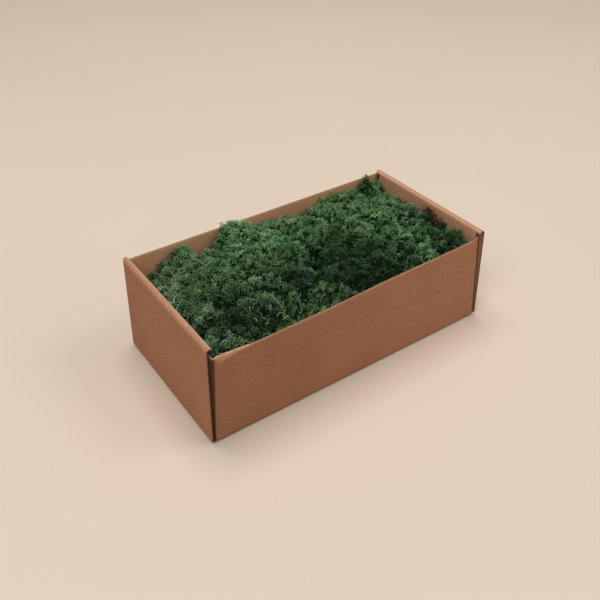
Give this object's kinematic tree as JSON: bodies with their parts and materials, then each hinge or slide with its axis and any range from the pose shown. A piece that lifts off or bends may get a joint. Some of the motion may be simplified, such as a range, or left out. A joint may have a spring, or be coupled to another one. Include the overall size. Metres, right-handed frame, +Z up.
{
  "type": "reindeer moss clump",
  "caption": "Preserved reindeer moss tufts packed in an open folded corrugated tray, domed just above the rim.",
  "frame": {"origin": "the middle of the tray's underside, where it rests", "axes": "+X along the long front wall to the right, +Y from the front wall to the back wall, +Z up"},
  "size_m": [0.3, 0.1587, 0.108],
  "materials": {
    "kraft_board": "matte",
    "moss_olive": "matte",
    "moss_deep": "matte",
    "moss_bright": "matte"
  },
  "bodies": {
    "root": {"tray": "kraft_board", "moss_tuft_01": "moss_olive", "moss_tuft_02": "moss_olive", "moss_tuft_03": "moss_deep", "moss_tuft_04": "moss_deep", "moss_tuft_05": "moss_deep", "moss_tuft_06": "moss_deep", "moss_tuft_07": "moss_deep", "moss_tuft_08": "moss_deep", "moss_tuft_09": "moss_olive", "moss_tuft_10": "moss_olive", "moss_tuft_11": "moss_deep", "moss_tuft_12": "moss_deep", "moss_tuft_13": "moss_deep", "moss_tuft_14": "moss_deep", "moss_tuft_15": "moss_deep", "moss_tuft_16": "moss_deep", "moss_tuft_17": "moss_olive", "moss_tuft_18": "moss_olive", "moss_tuft_19": "moss_deep", "moss_tuft_20": "moss_deep", "moss_tuft_21": "moss_deep", "moss_tuft_22": "moss_bright", "moss_tuft_23": "moss_deep", "moss_tuft_24": "moss_deep", "moss_tuft_25": "moss_olive", "moss_tuft_26": "moss_olive", "moss_tuft_27": "moss_bright", "moss_tuft_28": "moss_bright", "moss_tuft_29": "moss_deep", "moss_tuft_30": "moss_deep", "moss_tuft_31": "moss_deep", "moss_tuft_32": "moss_deep"}
  },
  "joints": []
}
